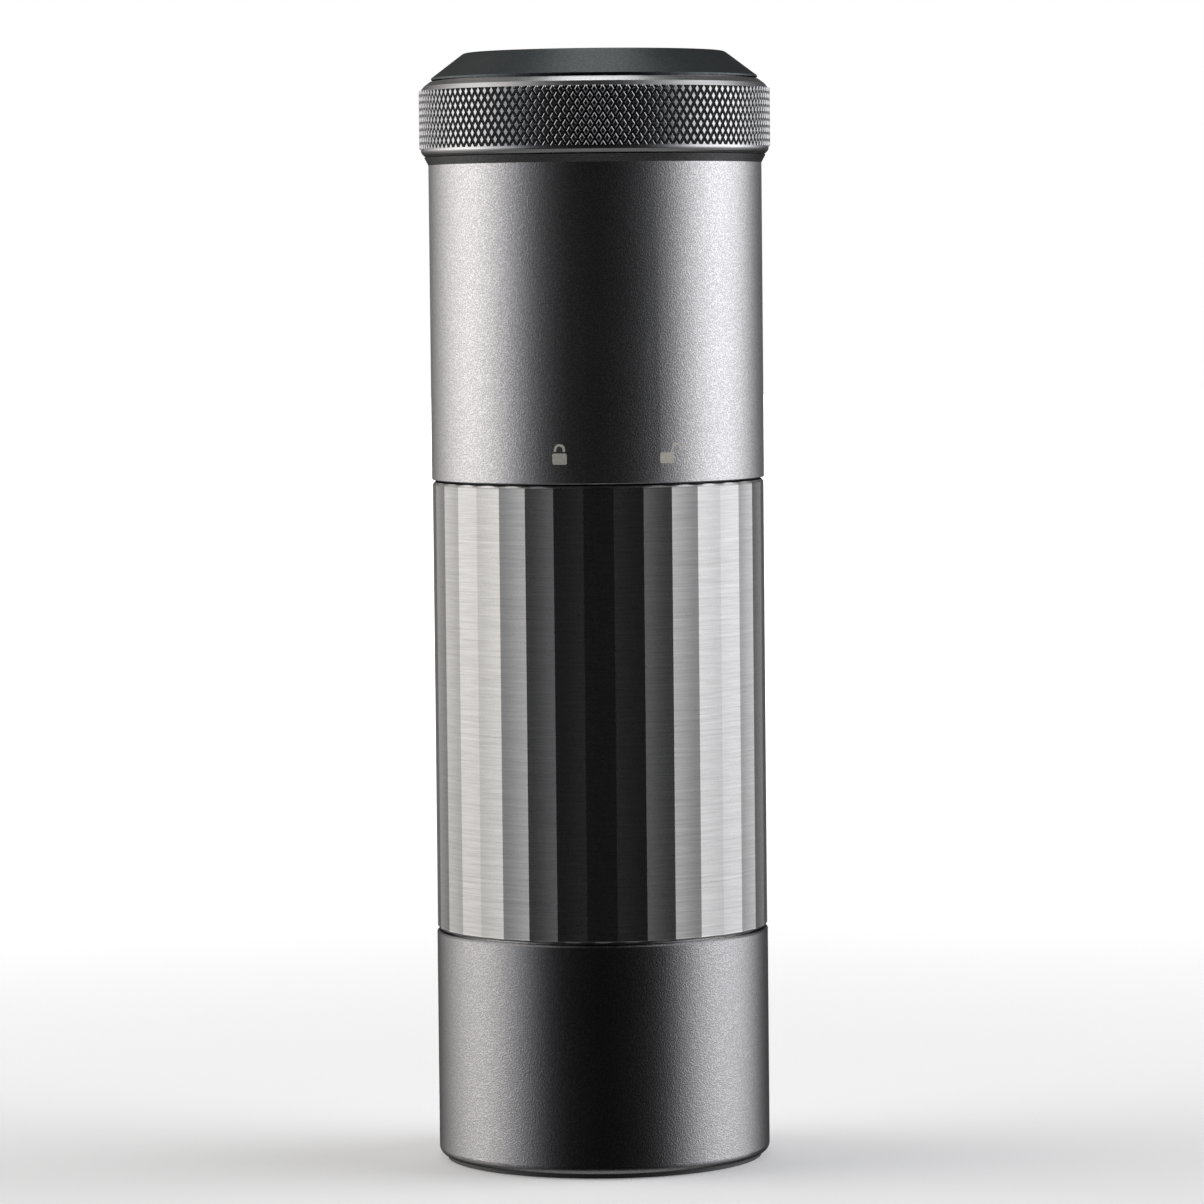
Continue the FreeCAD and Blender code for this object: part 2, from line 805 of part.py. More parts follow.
def wall_plate(name, width, height, corner_radius, inner, outer):
    """A plate with rounded corners, bent to the tube's back wall round the charging port."""
    corner = (size(0) - width / 2, 28, d.port_height - height / 2)
    outline = rounded_plate(f"{name}_outline", (width, 6, height), corner, corner_radius)
    shell = ring(f"{name}_shell", inner, outer, d.port_height - height, d.port_height + height)
    plate = doc.addObject("Part::Common", name)
    plate.Base = outline
    plate.Tool = shell
    return plate


def build_upper_tube():
    bore = d.body_radius - d.wall
    bottom = d.grip_top + d.seam
    ledge = d.neck_bore - 1.2
    blank = turned("tube_blank", [
        (bore, bottom),
        (d.body_radius - d.edge_break, bottom),
        (d.body_radius, bottom + d.edge_break),
        (d.body_radius, d.plain_top),
        (d.flare_radius, d.tube_top),
        (d.neck_radius, d.tube_top),
        (d.neck_radius, d.cap_bottom),
        (d.neck_bore, d.cap_bottom),
        (d.neck_bore, d.board_seat),
        (ledge, d.board_seat),
        (ledge, d.board_seat - 2),
        (bore, d.tube_top - 2),
    ])
    recess = wall_plate("port_recess", d.port_width, d.port_tall, d.port_corner,
                        d.body_radius - 1.1, d.body_radius + 1)
    hole = box("port_hole", (9.6, 8, 3.9), (-4.8, 26, d.port_height - 1.95))
    closed = lock_mark("closed_lock_mark", -13, 0)
    open_lock = lock_mark("open_lock_mark", 24, 2.0)
    marks = group("lock_marks", [closed, open_lock])
    tube = cut("upper_tube", blank, [recess, hole, closed, open_lock])
    subpart(tube, "upper_tube")
    subpart(marks, "lock_marks")


def build_bayonet_base():
    groove_bottom = d.base_floor + 0.2
    blank = turned("base_blank", [
        (d.bearing_radius, d.base_floor),
        (25.0, d.base_floor),
        (25.0, d.spigot_end),
        (d.bayonet_spigot, d.spigot_end),
        (d.bayonet_spigot, groove_bottom),
        (26.6, groove_bottom),
        (26.6, groove_bottom + 1.6),
        (d.bayonet_spigot, groove_bottom + 1.6),
        (d.bayonet_spigot, d.grip_top + d.seam),
        (d.body_radius - d.wall, d.grip_top + d.seam),
        (d.body_radius - d.wall, d.gearbox_bottom),
        (d.bearing_radius, d.gearbox_bottom),
    ])
    lugs = [
        wedge(f"lug_{angle}", d.bayonet_spigot - 1, d.bayonet_lug, d.lug_bottom,
              d.lug_bottom + d.lug_height, angle - d.lug_sweep.value / 2, d.lug_sweep)
        for angle in THIRDS
    ]
    screw_angles = (30, 150, 270)
    holes = cylinders_around("base_hole", 1.4, d.base_floor - 1, d.gearbox_bottom + 1, 11.5, screw_angles)
    subpart(cut("bayonet_base", fused("base_with_lugs", [blank] + lugs), holes), "bayonet_base")

    torus = doc.addObject("Part::Torus", "spigot_seal")
    bind(torus, {"Radius1": 27.3, "Radius2": 0.7, "Placement.Base.z": groove_bottom + 0.8})
    subpart(torus, "spigot_seal")

    screws = []
    for angle in screw_angles:
        place = polar(size(11.5), angle)
        head = cylinder(f"base_screw_head_{angle}", 2.5, d.base_floor - 1.8, d.base_floor, place)
        shank = cylinder(f"base_screw_shank_{angle}", 1.4, d.base_floor, d.gearbox_bottom + 1.8, place)
        screws.append(fused(f"base_screw_{angle}", [head, shank]))
    subpart(group("base_screws", screws), "base_screws")

    washer = ring("wave_washer", 26.2, 27.4, d.spigot_end - 0.8, d.spigot_end - 0.3)
    subpart(washer, "wave_washer")


def build_gearbox():
    floor = d.gearbox_bottom + 2.5
    blank = cylinder("gearbox_blank", d.gearbox_radius, d.gearbox_bottom, d.gearbox_top)
    space = ring_gear_space("ring_gear_space", floor, d.gearbox_top + 1)
    hole = cylinder("gearbox_hole", 5.3, d.gearbox_bottom - 1, floor + 1)
    screw_holes = cylinders_around(
        "gearbox_screw_hole", 1.4, d.gearbox_bottom - 1, d.gearbox_bottom + 1.8, 11.5, (30, 150, 270)
    )
    subpart(cut("gearbox_housing", blank, [space, hole] + screw_holes), "gearbox_housing")

    bearing_bottom = d.gearbox_bottom - d.bearing_height
    subpart(group("output_bearing", bearing_outside("output_bearing", bearing_bottom)), "output_bearing")
    subpart(bearing_inside("output_inner_ring", bearing_bottom), "output_inner_ring")
    seal = ring("shaft_seal", d.shaft_radius + d.running_fit, d.bearing_radius, d.base_floor, bearing_bottom)
    subpart(seal, "shaft_seal")

    # output stage: the carrier, its pins and the output shaft are one piece
    disc_2 = floor + 2.8
    face_2 = disc_2 + 2.5
    plate_2 = cylinder("output_plate", 11.0, disc_2, face_2)
    boss = cylinder("output_boss", 6.0, floor + 0.3, disc_2)
    shaft = cylinder("output_rod", d.shaft_radius, d.dog_plate, floor + 0.3)
    angles = (90, 210, 330)
    pins_2 = cylinders_around("output_pin", 1.0, face_2, face_2 + 6.1, d.planet_circle, angles)
    subpart(fused("output_carrier", [plate_2, boss, shaft] + pins_2), "output_carrier")
    planets(2, face_2 + 0.3, face_2 + 6.2)

    # input stage: its carrier turns the second sun
    disc_1 = face_2 + 6.6
    face_1 = disc_1 + 2.0
    plate_1 = cylinder("input_plate", 11.0, disc_1, face_1)
    sun_2 = gear("second_sun", int(d.sun_teeth.value), face_2 + 0.3, disc_1, 90)
    pins_1 = cylinders_around("input_pin", 1.0, face_1, face_1 + 4.2, d.planet_circle, angles)
    subpart(fused("input_carrier", [plate_1, sun_2] + pins_1), "input_carrier")
    planets(1, face_1 + 0.3, face_1 + 4.1)

    sun_1 = gear("first_sun", int(d.sun_teeth.value), face_1 + 0.3, face_1 + 4.6, 90)
    rod = cylinder("rotor_rod", 1.5, face_1 + 0.3, d.motor_top - 0.5)
    subpart(fused("rotor_shaft", [sun_1, rod]), "rotor_shaft")

    plate = cylinder("dog_disc", d.dog_radius, d.dog_plate, d.dog_plate + 2)
    legs = [
        wedge(f"dog_leg_{angle}", 5.5, d.dog_radius, d.dog_bottom, d.dog_plate + 1,
              angle - d.dog_sweep.value / 2, d.dog_sweep)
        for angle in (72, 252)
    ]
    bore = cylinder("dog_bore", d.shaft_radius, d.dog_plate - 1, d.dog_plate + 3)
    subpart(cut("output_dog", fused("dog_blank", [plate] + legs), [bore]), "output_dog")


def build_motor():
    plate = d.gearbox_top + 1.5
    cover = d.motor_top - 1.8
    bore = size(1.58)
    can = turned("motor_can", [
        (bore, d.gearbox_top),
        (d.motor_radius, d.gearbox_top),
        (d.motor_radius, cover),
        (12.8, cover),
        (12.8, plate),
        (bore, plate),
    ])
    subpart(can, "motor_can")
    subpart(ring("motor_cover", bore, d.motor_radius, cover, d.motor_top), "motor_cover")
    magnets = [
        wedge(f"motor_magnet_{start}", 9.6, 12.8, plate + 2.7, plate + 26.7, start, 140)
        for start in (20, 200)
    ]
    subpart(group("motor_magnets", magnets), "motor_magnets")

    core_bottom = plate + 3.2
    core_top = core_bottom + 22.5
    core = ring("armature_core", 1.5, d.armature_radius, core_bottom, core_top)
    slots = [
        arm(f"armature_slot_{angle}", 5.0, 10.0, 2.2, core_bottom - 1, core_top + 1, angle)
        for angle in range(0, 360, 72)
    ]
    poles = cut("armature_poles", core, slots)
    commutator = ring("commutator", 1.5, 3.2, core_top + 1, core_top + 5.5)
    subpart(group("armature", [poles, commutator]), "armature")
    leads = [
        cylinder(f"motor_lead_{side}", 0.8, d.motor_top, d.board_seat, (7.0 * side, 0)) for side in (-1, 1)
    ]
    subpart(group("motor_leads", leads), "motor_leads")


def build_battery():
    cell_angles = (-90, 30, 150)
    top = d.cell_bottom + d.cell_height
    cells = []
    for angle in cell_angles:
        place = polar(d.cell_circle, angle)
        can = cylinder(f"cell_can_{angle}", d.cell_radius, d.cell_bottom, top - 1, place)
        button = cylinder(f"cell_tip_{angle}", 2.7, top - 1, top, place)
        cells.append(fused(f"cell_{angle}", [can, button]))
    subpart(group("battery_cells", cells), "battery_cells")

    outer = d.body_radius - d.wall
    lower = ring("lower_holder", d.gearbox_radius + 0.2, outer, d.gearbox_bottom, d.cell_bottom)
    upper = ring("upper_holder", d.gearbox_radius + 0.2, outer, top, top + 2)
    subpart(group("cell_holders", [lower, upper]), "cell_holders")


def build_electronics():
    top = d.board_seat + d.board_thickness
    disc = cylinder("control_disc", d.neck_bore - 0.05, d.board_seat, top)
    switch = box("switch_body", (6, 6, 3.5), (-3, -3, top))
    plunger = cylinder("switch_plunger", 1.5, top + 3.5, top + 4.3)
    chips = [
        box("driver_chip", (7, 7, 1.0), (8, -3.5, top)),
        box("sensor_chip", (3, 2, 1.2), (-20, -1, top)),
        box("capacitor", (6, 4, 3.0), (-4, 12, top)),
    ]
    subpart(group("control_board", [disc, fused("switch", [switch, plunger])] + chips), "control_board")

    back = size(22.4)
    card = box("charge_card", (13, 1.6, 18), (-6.5, back, d.port_height - 14))
    socket = box("port_socket", (8.9, 6.5, 3.2), (-4.45, back + 1.6, d.port_height - 1.6))
    mouth = box("port_mouth", (8.0, 5.0, 2.4), (-4.0, back + 3.7, d.port_height - 1.2))
    tongue = box("port_tongue", (6.6, 4.4, 0.7), (-3.3, back + 3.6, d.port_height - 0.35))
    port = fused("charge_port", [cut("port_shell", socket, [mouth]), tongue])
    subpart(group("charge_board", [card, port]), "charge_board")

    width = d.port_width - d.port_gap * 2
    height = d.port_tall - d.port_gap * 2
    flap = wall_plate("port_flap", width, height, d.port_corner - d.port_gap,
                      d.body_radius - 0.8, d.body_radius)
    lip_corner = (-3.2, d.body_radius - 0.6, d.port_height + height / 2 - 1.7)
    lip = rounded_plate("port_lip", (6.4, 0.95, 0.9), lip_corner, size(0.4))
    subpart(fused("usb_cover", [flap, lip]), "usb_cover")


# ---------------------------------------------------------------- speed ring, cap and button


def build_speed_ring():
    chamfer = d.knurl_radius - 0.3
    blank = turned("speed_blank", [
        (d.neck_radius + d.running_fit, d.ring_bottom),
        (d.flare_radius + 0.05, d.ring_bottom),
        (chamfer - 0.1, d.ring_bottom + 0.9),
        (chamfer, d.knurl_bottom),
        (d.knurl_radius, d.knurl_bottom + 0.3),
        (d.knurl_radius, d.knurl_top - 0.3),
        (chamfer, d.knurl_top),
        (chamfer - 0.7, d.knurl_top + 0.9),
        (d.body_radius - 0.5, d.ring_top),
        (d.neck_radius + d.running_fit, d.ring_top),
    ])
    angles = range(0, 360, 30)
    bottom = d.ring_bottom + 0.1
    top = bottom + 3
    circle = size(31.2)
    pockets = cylinders_around("dial_pocket", 1.0, d.ring_bottom - 1, top, circle, angles)
    subpart(cut("speed_dial", blank, pockets), "speed_dial")
    magnets = cylinders_around("dial_magnet", 1.0, bottom, top, circle, angles)
    subpart(group("dial_magnets", magnets), "dial_magnets")


def build_cap():
    skirt = d.cap_bottom - 4.4
    ceiling = d.cap_bottom + 1.5
    cap = turned("top_cap", [
        (d.light_radius, ceiling),
        (d.light_radius, d.total_height),
        (d.cap_flat, d.total_height),
        (d.cap_radius, d.cap_bottom + 0.35),
        (d.cap_radius, d.cap_bottom),
        (d.neck_bore, d.cap_bottom),
        (d.neck_bore, skirt),
        (d.neck_bore - 1.3, skirt),
        (d.neck_bore - 1.3, ceiling - 0.5),
        (d.neck_bore - 1.8, ceiling),
    ])
    round_edge(cap, 1.6, d.cap_flat, d.total_height)
    subpart(cap, "top_cap")

    top = d.total_height - 0.1
    subpart(ring("light_ring", d.light_bore, d.light_radius, ceiling, top), "light_ring")

    switch_top = d.board_seat + d.board_thickness + 4.3
    stem_bottom = switch_top + d.button_travel + 0.1
    flange_top = ceiling - 0.4
    button = turned("power_button", [
        (0, stem_bottom),
        (2.5, stem_bottom),
        (2.5, flange_top - 1),
        (10.0, flange_top - 1),
        (10.0, flange_top),
        (d.button_radius, flange_top),
        (d.button_radius, top - 0.3),
        (d.button_radius - 0.3, top),
        (0, top - 0.5),
    ])
    subpart(button, "power_button")


# ---------------------------------------------------------------- build, test and write


def check_document():
    for item in doc.Objects:
        if "Invalid" in item.State or "Error" in item.State:
            raise RuntimeError(f"{item.Label} did not build: {item.State}")
    for item in subparts:
        if item.Shape.isNull() or not item.Shape.isValid() or not item.Shape.Solids:
            raise RuntimeError(f"{item.Label} has no valid solid")


def main():
    build_cup()
    build_grip()
    build_burr_shaft()
    build_burr_spring()
    build_cone_burr()
    build_adjust_dial()
    build_upper_tube()
    build_bayonet_base()
    build_gearbox()
    build_motor()
    build_battery()
    build_electronics()
    build_speed_ring()
    build_cap()
    doc.recompute()
    check_document()
    os.makedirs("parts", exist_ok=True)
    for item in subparts:
        item.Shape.exportStep(f"parts/{item.Label}.step")
    print(f"{len(subparts)} sub-parts written")


main()
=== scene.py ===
import json
import math
import random

import bmesh
import bpy
from mathutils import Matrix, Vector


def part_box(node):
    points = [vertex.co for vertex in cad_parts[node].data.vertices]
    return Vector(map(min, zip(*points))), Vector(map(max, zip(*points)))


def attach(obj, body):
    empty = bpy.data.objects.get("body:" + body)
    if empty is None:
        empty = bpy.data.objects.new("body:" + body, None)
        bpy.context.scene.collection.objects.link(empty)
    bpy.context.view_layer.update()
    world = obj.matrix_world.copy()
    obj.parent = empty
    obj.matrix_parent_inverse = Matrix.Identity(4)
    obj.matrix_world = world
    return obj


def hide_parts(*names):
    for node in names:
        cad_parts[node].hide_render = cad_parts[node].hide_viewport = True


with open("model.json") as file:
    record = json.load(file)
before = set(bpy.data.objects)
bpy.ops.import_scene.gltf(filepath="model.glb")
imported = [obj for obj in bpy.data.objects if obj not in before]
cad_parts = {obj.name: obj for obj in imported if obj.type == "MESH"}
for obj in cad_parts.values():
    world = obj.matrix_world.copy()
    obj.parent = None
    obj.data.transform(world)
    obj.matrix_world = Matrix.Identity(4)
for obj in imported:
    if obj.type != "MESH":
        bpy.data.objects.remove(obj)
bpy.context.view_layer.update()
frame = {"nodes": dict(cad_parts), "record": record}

# A portable coffee grinder in dark anodised metal: knurled ring, blasted tube, fluted grip and cup.
# Metres throughout. -Y is the front, +Z is up.

MM = 0.001
# How far the flared rim's top lies under the ring, and how tall the flare is.
RIM_GAP, RIM_HEIGHT = 0.3 * MM, 1.55 * MM
# Painted shade: the share of the tube's colour kept over its flared rim, so that the flare looks dark.
PAINTED_FLARE_SHADE = 0.38
CARD_THICKNESS = 1.6 * MM
RING_CORE = 33.0 * MM

ring_low, ring_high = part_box("speed_dial")
grip_low, grip_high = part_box("grip_sleeve")
collar_low, collar_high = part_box("bayonet_collar")
charge_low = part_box("charge_board")[0]


# ---------------------------------------------------------------- camera, stage and lights


def add_camera():
    """Long lens a little above the object's middle, looking slightly down, with a slight roll."""
    distance, height = 1.1142, 0.17434
    down, roll, right = math.radians(3.444), math.radians(-0.58), math.radians(0.0262)
    data = bpy.data.cameras.new("camera")
    data.lens = 172.9
    data.sensor_width = 36.0
    camera = bpy.data.objects.new("camera", data)
    aim = Matrix.Rotation(-right, 4, "Z") @ Matrix.Rotation(math.pi / 2 - down, 4, "X")
    camera.matrix_world = Matrix.Translation((0, -distance, height)) @ aim @ Matrix.Rotation(roll, 4, "Z")
    bpy.context.scene.collection.objects.link(camera)
    bpy.context.scene.camera = camera


def colour_stops(ramp, stops):
    """Fill a colour ramp from (position, colour) pairs."""
    ramp.interpolation = "EASE"
    while len(ramp.elements) > 1:
        ramp.elements.remove(ramp.elements[-1])
    ramp.elements[0].position, ramp.elements[0].color = stops[0]
    for position, colour in stops[1:]:
        ramp.elements.new(position).color = colour


def add_world():
    """White to the camera. To everything else, a dim room with a tall soft box at each side.

    Each list holds (degrees, level) pairs: round the object from its back by the left, the front
    and the right, then from straight down to straight up. The bounce comes off the floor, the same
    from every side.
    """
    brightness = 3.8
    dusk_within = 62
    around = [
        (-180, 0.01), (-160, 0.02), (-142, 0.18), (-122, 0.56), (-105, 0.92), (-90, 0.95), (-75, 0.68),
        (-60, 0.32), (-48, 0.06), (-36, 0.006), (0, 0.002), (38, 0.006), (50, 0.06), (63, 0.43),
        (77, 0.87), (92, 1.04), (107, 1.0), (121, 0.58), (133, 0.19), (146, 0.02), (180, 0.01),
    ]
    upward = [
        (-90, 0.01), (-60, 0.02), (-45, 0.06), (-25, 0.28), (-12, 0.45), (-1, 0.95), (6, 1.0),
        (40, 1.0), (62, 0.25), (78, 0.03), (90, 0.02),
    ]
    bounce = [(-90, 0.16), (-62, 0.12), (-50, 0.02), (-38, 0.0)]
    warm, cool, dusk = (1.0, 0.978, 0.955), (0.972, 0.975, 1.0), (0.90, 0.93, 1.0)
    world = bpy.data.worlds.new("studio")
    bpy.context.scene.world = world
    world.use_nodes = True
    nodes, links = world.node_tree.nodes, world.node_tree.links
    nodes.clear()

    def math_node(operation, first, second):
        node = nodes.new("ShaderNodeMath")
        node.operation = operation
        for socket, value in zip(node.inputs, (first, second)):
            if isinstance(value, (int, float)):
                socket.default_value = value
            else:
                links.new(value, socket)
        return node.outputs[0]

    def ramp_node(source, stops):
        node = nodes.new("ShaderNodeValToRGB")
        colour_stops(node.color_ramp, stops)
        links.new(source, node.inputs["Fac"])
        return node.outputs["Color"]

    def blended(blend, first, second):
        node = nodes.new("ShaderNodeMix")
        node.data_type = "RGBA"
        node.blend_type = blend
        node.inputs["Factor"].default_value = 1
        links.new(first, node.inputs["A"])
        links.new(second, node.inputs["B"])
        return node.outputs["Result"]

    def grey_stops(pairs):
        return [((angle + 90) / 180, (level, level, level, 1)) for angle, level in pairs]

    split = nodes.new("ShaderNodeSeparateXYZ")
    links.new(nodes.new("ShaderNodeTexCoord").outputs["Generated"], split.inputs[0])
    x, y, z = split.outputs
    turn = math_node("ARCTAN2", x, math_node("MULTIPLY", y, -1))
    turn = math_node("MULTIPLY_ADD", turn, 1 / (2 * math.pi))
    turn.node.inputs[2].default_value = 0.5
    rise = math_node("MULTIPLY_ADD", math_node("ARCSINE", z, 0), 1 / math.pi)
    rise.node.inputs[2].default_value = 0.5
    sides = []
    for angle, level in around:
        tint = dusk if abs(angle) < dusk_within else warm if angle < 0 else cool
        sides.append(((angle + 180) / 360, (*(level * channel for channel in tint), 1)))
    glow = blended("MULTIPLY", ramp_node(turn, sides), ramp_node(rise, grey_stops(upward)))
    lifted = blended("ADD", glow, ramp_node(rise, grey_stops(bounce)))
    room = nodes.new("ShaderNodeBackground")
    room.inputs["Strength"].default_value = brightness
    links.new(lifted, room.inputs["Color"])
    sheet = nodes.new("ShaderNodeBackground")
    sheet.inputs["Color"].default_value = (1, 1, 1, 1)
    mix = nodes.new("ShaderNodeMixShader")
    links.new(nodes.new("ShaderNodeLightPath").outputs["Is Camera Ray"], mix.inputs[0])
    links.new(room.outputs[0], mix.inputs[1])
    links.new(sheet.outputs[0], mix.inputs[2])
    links.new(mix.outputs[0], nodes.new("ShaderNodeOutputWorld").inputs["Surface"])


def add_overhead_light():
    """Soft box above and slightly behind, which shows only in the sloping tops."""
    data = bpy.data.lights.new("overhead_box", "AREA")
    data.shape = "RECTANGLE"
    data.size, data.size_y = 0.3, 0.35
    data.energy = 1.4
    light = bpy.data.objects.new("overhead_box", data)
    place = Vector((0, 0.34, 0.95))
    facing = (Vector((0, 0, 0.2)) - place).to_track_quat("-Z", "Y")
    light.matrix_world = Matrix.Translation(place) @ facing.to_matrix().to_4x4()
    light.visible_camera = False
    bpy.context.scene.collection.objects.link(light)


def add_floor():
    """Pale floor that brightens into the white around it, and that the metal doesn't reflect."""
    half = 6.0
    near, far = 0.1, 1.2
    near_glow, far_glow = 0.12, 1.0
    mesh = bpy.data.meshes.new("floor")
    corners = [(-half, -half, 0), (half, -half, 0), (half, half, 0), (-half, half, 0)]
    mesh.from_pydata(corners, [], [(0, 1, 2, 3)])
    floor = bpy.data.objects.new("floor", mesh)
    floor.visible_glossy = False
    floor.visible_shadow = False
    bpy.context.scene.collection.objects.link(floor)
    material = bpy.data.materials.new("pale_floor")
    material.use_nodes = True
    nodes, links = material.node_tree.nodes, material.node_tree.links
    shader = nodes["Principled BSDF"]
    shader.inputs["Base Color"].default_value = (0.86, 0.86, 0.86, 1)
    shader.inputs["Roughness"].default_value = 0.6
    shader.inputs["Emission Color"].default_value = (1, 1, 1, 1)
    distance = nodes.new("ShaderNodeVectorMath")
    distance.operation = "LENGTH"
    links.new(nodes.new("ShaderNodeTexCoord").outputs["Object"], distance.inputs[0])
    spread = nodes.new("ShaderNodeMapRange")
    spread.interpolation_type = "SMOOTHSTEP"
    spread.inputs["From Min"].default_value = near
    spread.inputs["From Max"].default_value = far
    spread.inputs["To Min"].default_value = near_glow
    spread.inputs["To Max"].default_value = far_glow
    links.new(distance.outputs["Value"], spread.inputs["Value"])
    links.new(spread.outputs["Result"], shader.inputs["Emission Strength"])
    mesh.materials.append(material)


# ---------------------------------------------------------------- materials


class Surface:
    """A material under construction: one Principled shader and short ways to feed it."""

    def __init__(self, name, metallic, roughness):
        self.material = bpy.data.materials.new(name)
        self.material.use_nodes = True
        self.nodes = self.material.node_tree.nodes
        self.links = self.material.node_tree.links
        self.shader = self.nodes["Principled BSDF"]
        self.shader.inputs["Metallic"].default_value = metallic
        self.shader.inputs["Roughness"].default_value = roughness
        self.place = self.nodes.new("ShaderNodeTexCoord").outputs["Object"]

    def scaled(self, scale):
        """Object coordinates, stretched by a scale along each axis."""
        mapping = self.nodes.new("ShaderNodeMapping")
        mapping.inputs["Scale"].default_value = scale
        self.links.new(self.place, mapping.inputs["Vector"])
        return mapping.outputs[0]

    def noise(self, size, detail=2.0, stretch=(1, 1, 1)):
        """Noise whose features are about size metres across."""
        node = self.nodes.new("ShaderNodeTexNoise")
        node.inputs["Scale"].default_value = 1 / size
        node.inputs["Detail"].default_value = detail
        self.links.new(self.scaled(stretch), node.inputs["Vector"])
        return node.outputs["Fac"]

    def cells(self, size):
        """Distance to the middle of the nearest of many cells about size metres across."""
        node = self.nodes.new("ShaderNodeTexVoronoi")
        node.inputs["Scale"].default_value = 1 / size
        self.links.new(self.place, node.inputs["Vector"])
        return node.outputs["Distance"]

    def ramp(self, source, low, high, start=0.3, end=0.7):
        """Colour that runs from low to high as the source goes from start to end."""
        node = self.nodes.new("ShaderNodeValToRGB")
        node.color_ramp.elements[0].position = start
        node.color_ramp.elements[0].color = (*low, 1)
        node.color_ramp.elements[1].position = end
        node.color_ramp.elements[1].color = (*high, 1)
        self.links.new(source, node.inputs["Fac"])
        return node.outputs["Color"]

    def span(self, source, low, high, start=0.3, end=0.7):
        """Number that runs from low to high as the source goes from start to end."""
        node = self.nodes.new("ShaderNodeMapRange")
        node.inputs["From Min"].default_value = start
        node.inputs["From Max"].default_value = end
        node.inputs["To Min"].default_value = low
        node.inputs["To Max"].default_value = high
        self.links.new(source, node.inputs["Value"])
        return node.outputs["Result"]

    def along(self, axis):
        """Place along one of the object's own axes."""
        node = self.nodes.new("ShaderNodeSeparateXYZ")
        self.links.new(self.place, node.inputs[0])
        return node.outputs[axis]

    def dimmed(self, colour, factor):
        """A colour multiplied by a factor."""
        node = self.nodes.new("ShaderNodeVectorMath")
        node.operation = "SCALE"
        self.links.new(colour, node.inputs[0])
        self.links.new(factor, node.inputs["Scale"])
        return node.outputs["Vector"]

    def mixed(self, factor, first, second):
        """A colour that turns into a plain second one as the factor goes to 1."""
        node = self.nodes.new("ShaderNodeMix")
        node.data_type = "RGBA"
        node.inputs["B"].default_value = (*second, 1)
        self.links.new(factor, node.inputs["Factor"])
        self.links.new(first, node.inputs["A"])
        return node.outputs["Result"]

    def feed(self, socket, source):
        self.links.new(source, self.shader.inputs[socket])

    def bump(self, height, depth):
        """Relief of a depth in metres."""
        node = self.nodes.new("ShaderNodeBump")
        node.inputs["Distance"].default_value = depth
        node.inputs["Strength"].default_value = 1.0
        self.links.new(height, node.inputs["Height"])
        self.links.new(node.outputs["Normal"], self.shader.inputs["Normal"])


def shaded(colour, factor):
    return tuple(channel * factor for channel in colour)


def blasted_metal(name, colour, roughness, grain, depth, rim=None):
    """Anodised metal with a fine bead-blasted skin, and painted shade that darkens it above the height of
    its rim.
    """
    surface = Surface(name, 1.0, roughness)
    pits = surface.cells(grain)
    wide = surface.noise(14 * MM, 1.0)
    skin = surface.ramp(pits, shaded(colour, 0.72), shaded(colour, 1.28), 0.2, 0.75)
    if rim is not None:
        # Painted shade: the colour drops to a fraction of itself just above the rim's foot, which darkens
        # the flare.
        shade = surface.span(surface.along("Z"), 1.0, PAINTED_FLARE_SHADE, rim, rim + 0.1 * MM)
        skin = surface.dimmed(skin, shade)
    surface.feed("Base Color", skin)
    surface.feed("Roughness", surface.span(wide, roughness - 0.006, roughness + 0.006))
    surface.bump(pits, depth)
    return surface.material


def turned_metal(name, colour, roughness, pitch, depth, anisotropic=0.0):
    """Metal with fine turning lines round its axis."""
    surface = Surface(name, 1.0, roughness)
    lines = surface.noise(pitch, 3.0, (0.02, 0.02, 1))
    grain = surface.noise(0.2 * MM, 2.0)
    surface.feed("Base Color", surface.ramp(lines, shaded(colour, 0.85), shaded(colour, 1.12)))
    surface.feed("Roughness", surface.span(grain, roughness - 0.04, roughness + 0.04))
    if anisotropic:
        surface.shader.inputs["Anisotropic"].default_value = anisotropic
        tangent = surface.nodes.new("ShaderNodeTangent")
        tangent.direction_type = "RADIAL"
        tangent.axis = "Z"
        surface.feed("Tangent", tangent.outputs[0])
    surface.bump(lines, depth)
    return surface.material


def moulded_polymer(name, colour, roughness, grain=0.25 * MM, depth=0.01 * MM):
    """Moulded polymer or rubber with a fine spark-eroded grain."""
    surface = Surface(name, 0.0, roughness)
    fine = surface.noise(grain, 3.0)
    wide = surface.noise(6 * MM, 2.0)
    surface.feed("Base Color", surface.ramp(wide, shaded(colour, 0.85), shaded(colour, 1.2)))
    surface.feed("Roughness", surface.span(fine, roughness - 0.05, roughness + 0.05))
    surface.bump(fine, depth)
    return surface.material


def clear_polymer(name):
    """Smoky see-through polymer."""
    surface = Surface(name, 0.0, 0.12)
    surface.shader.inputs["Transmission Weight"].default_value = 0.85
    surface.shader.inputs["IOR"].default_value = 1.5
    haze = surface.noise(4 * MM, 3.0)
    surface.feed("Base Color", surface.ramp(haze, (0.55, 0.57, 0.6), (0.7, 0.72, 0.75)))
    surface.bump(haze, 0.01 * MM)
    return surface.material


def laminate(name, socket=None):
    """Circuit board under solder resist, with a metal socket beyond a place in Y."""
    surface = Surface(name, 0.0, 0.3)
    traces = surface.cells(1.1 * MM)
    tint = surface.ramp(traces, (0.01, 0.09, 0.045), (0.02, 0.16, 0.08))
    if socket is not None:
        metal = surface.span(surface.along("Y"), 0.0, 1.0, socket, socket + 0.05 * MM)
        surface.feed("Metallic", metal)
        tint = surface.mixed(metal, tint, (0.42, 0.42, 0.43))
    surface.feed("Base Color", tint)
    surface.bump(surface.noise(0.5 * MM), 0.01 * MM)
    return surface.material


def wound_core(name):
    """Copper wire over stacked sheet."""
    surface = Surface(name, 1.0, 0.35)
    strands = surface.noise(0.5 * MM, 1.0, (1, 1, 0.2))
    surface.feed("Base Color", surface.ramp(strands, (0.35, 0.13, 0.05), (0.85, 0.42, 0.2)))
    surface.bump(strands, 0.05 * MM)
    return surface.material


